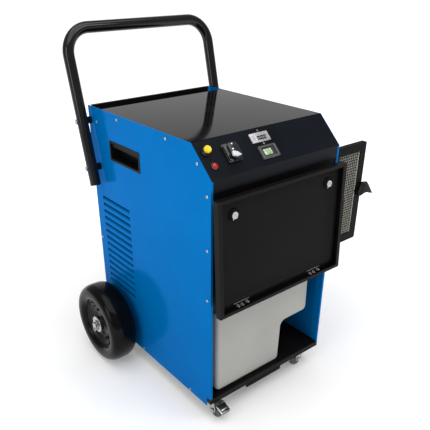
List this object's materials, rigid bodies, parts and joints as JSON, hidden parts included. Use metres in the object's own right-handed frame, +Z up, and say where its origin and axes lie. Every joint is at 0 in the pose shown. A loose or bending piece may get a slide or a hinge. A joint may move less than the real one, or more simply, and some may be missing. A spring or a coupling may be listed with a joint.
{
  "type": "wheeled commercial dehumidifier",
  "caption": "Wheeled upright dehumidifier with a push handle, sloped control panel, flip-up door over a slide-out water tank and a hinged air filter on its side.",
  "frame": {"origin": "bottom centre of the object's bounding box at rest, on the floor it stands on", "axes": "+Z up, -Y towards the front (tank door side), +X to the right seen from the front"},
  "size_m": [0.7544, 0.6678, 1.012],
  "materials": {
    "blue_powder_coat": "semi-gloss",
    "black_powder_coat": "satin",
    "black_tube": "gloss",
    "black_plastic": "satin",
    "rubber": "matte",
    "tyre": "matte",
    "caster_tread": "satin",
    "zinc": "satin",
    "mesh": "satin",
    "tank": "translucent satin",
    "float": "satin",
    "yellow": "gloss",
    "red": "gloss",
    "pointer": "satin",
    "meter": "satin",
    "bezel": "satin",
    "screen": "gloss",
    "compressor": "gloss",
    "fins": "satin",
    "copper": "satin"
  },
  "bodies": {
    "cabinet": {"left_panel": "blue_powder_coat", "right_panel": "blue_powder_coat", "grip_cups": "black_plastic", "cabinet_screws": "zinc", "handle_tube": "black_tube", "handle_fittings": "black_plastic", "handle_bolts": "zinc", "top_cover": "black_powder_coat", "rear_panel": "black_powder_coat", "cable_gland": "black_plastic", "control_panel": "black_powder_coat", "upper_front_panel": "black_powder_coat", "rubber_mounts": "rubber", "base_tray": "black_powder_coat", "bay_liner": "black_powder_coat", "console_bezels": "black_plastic", "red_lamp": "red", "switch_base": "black_plastic", "hour_meter": "meter", "display_bezel": "bezel", "display_screens": "screen", "door_hinge_brackets": "zinc", "filter_hinge": "zinc", "rear_axle": "zinc", "axle_brackets": "black_powder_coat", "hub_fasteners": "zinc", "caster_plates": "zinc", "compressor": "compressor", "evaporator": "fins", "condenser": "fins", "refrigerant_pipes": "copper", "fan_shroud": "black_plastic", "fan_motor": "zinc", "drip_tray": "black_plastic", "electrical_box": "black_powder_coat"},
    "button": {"yellow_button": "yellow"},
    "knob": {"switch_knob": "pointer"},
    "tank_door": {"door_pan": "black_powder_coat", "door_liner": "black_powder_coat", "door_seal": "rubber", "door_lock_cups": "black_plastic", "door_hinge_leaves": "zinc"},
    "left_lock": {"door_lock_left": "zinc"},
    "right_lock": {"door_lock_right": "zinc"},
    "filter_door": {"filter_frame": "black_powder_coat", "filter_mesh": "mesh"},
    "latch": {"filter_latch": "black_plastic"},
    "tank": {"water_tank": "tank"},
    "float": {"tank_float": "float"},
    "left_wheel": {"left_tyre": "tyre", "left_rim": "black_plastic"},
    "right_wheel": {"right_tyre": "tyre", "right_rim": "black_plastic"},
    "left_caster": {"left_caster_fork": "zinc"},
    "left_caster_roller": {"left_caster_wheel": "caster_tread"},
    "left_pedal": {"left_brake_pedal": "zinc"},
    "right_caster": {"right_caster_fork": "zinc"},
    "right_caster_roller": {"right_caster_wheel": "caster_tread"},
    "right_pedal": {"right_brake_pedal": "zinc"},
    "fan": {"fan_impeller": "black_plastic"}
  },
  "joints": [
    {"name": "left_wheel_spin", "type": "hinge", "parent": "cabinet", "child": "left_wheel", "pos_m": [-0.33025, 0.17192, 0.13], "axis": [1, 0, 0], "continuous": true},
    {"name": "right_wheel_spin", "type": "hinge", "parent": "cabinet", "child": "right_wheel", "pos_m": [0.23375, 0.17192, 0.13], "axis": [1, 0, 0], "continuous": true},
    {"name": "tank_door_hinge", "type": "hinge", "parent": "cabinet", "child": "tank_door", "pos_m": [-0.04825, -0.31308, 0.372], "axis": [1, 0, 0], "range_deg": [0, 182.6]},
    {"name": "left_lock_turn", "type": "hinge", "parent": "tank_door", "child": "left_lock", "pos_m": [-0.21425, -0.30106, 0.63673], "axis": [0, -0.999, 0.0454], "range_deg": [0, 90]},
    {"name": "right_lock_turn", "type": "hinge", "parent": "tank_door", "child": "right_lock", "pos_m": [0.11775, -0.30106, 0.63673], "axis": [0, -0.999, 0.0454], "range_deg": [0, 90]},
    {"name": "filter_door_hinge", "type": "hinge", "parent": "cabinet", "child": "filter_door", "pos_m": [0.17975, -0.26108, 0.552], "axis": [0, 0, 1], "range_deg": [0, 90]},
    {"name": "filter_latch_turn", "type": "hinge", "parent": "filter_door", "child": "latch", "pos_m": [0.31225, -0.26108, 0.552], "axis": [0, 1, 0], "range_deg": [0, 90]},
    {"name": "tank_pull", "type": "slide", "parent": "cabinet", "child": "tank", "axis": [0, 1, 0], "range_m": [-0.26, 0]},
    {"name": "float_rise", "type": "slide", "parent": "tank", "child": "float", "axis": [0, 0, 1], "range_m": [0, 0.165]},
    {"name": "button_push", "type": "slide", "parent": "cabinet", "child": "button", "axis": [0, 0.6872, -0.7265], "range_m": [0, 0.004], "stiffness_N_per_m": 300},
    {"name": "switch_turn", "type": "hinge", "parent": "cabinet", "child": "knob", "pos_m": [-0.17825, -0.26057, 0.75586], "axis": [0, -0.6872, 0.7265], "range_deg": [-90, 0]},
    {"name": "fan_spin", "type": "hinge", "parent": "cabinet", "child": "fan", "pos_m": [0.03575, -0.18808, 0.553], "axis": [1, 0, 0], "continuous": true},
    {"name": "left_caster_swivel", "type": "hinge", "parent": "cabinet", "child": "left_caster", "pos_m": [-0.23325, -0.25308, 0.06], "axis": [0, 0, 1], "continuous": true},
    {"name": "left_caster_roll", "type": "hinge", "parent": "left_caster", "child": "left_caster_roller", "pos_m": [-0.23325, -0.27708, 0.025], "axis": [-1, 0, 0], "continuous": true},
    {"name": "left_brake_press", "type": "hinge", "parent": "left_caster", "child": "left_pedal", "pos_m": [-0.23325, -0.27408, 0.055], "axis": [1, 0, 0], "range_deg": [0, 3]},
    {"name": "right_caster_swivel", "type": "hinge", "parent": "cabinet", "child": "right_caster", "pos_m": [0.13675, -0.25308, 0.06], "axis": [0, 0, 1], "continuous": true},
    {"name": "right_caster_roll", "type": "hinge", "parent": "right_caster", "child": "right_caster_roller", "pos_m": [0.11275, -0.25308, 0.025], "axis": [0, 1, 0], "continuous": true},
    {"name": "right_brake_press", "type": "hinge", "parent": "right_caster", "child": "right_pedal", "pos_m": [0.11575, -0.25308, 0.055], "axis": [0, -1, 0], "range_deg": [0, 3]}
  ]
}
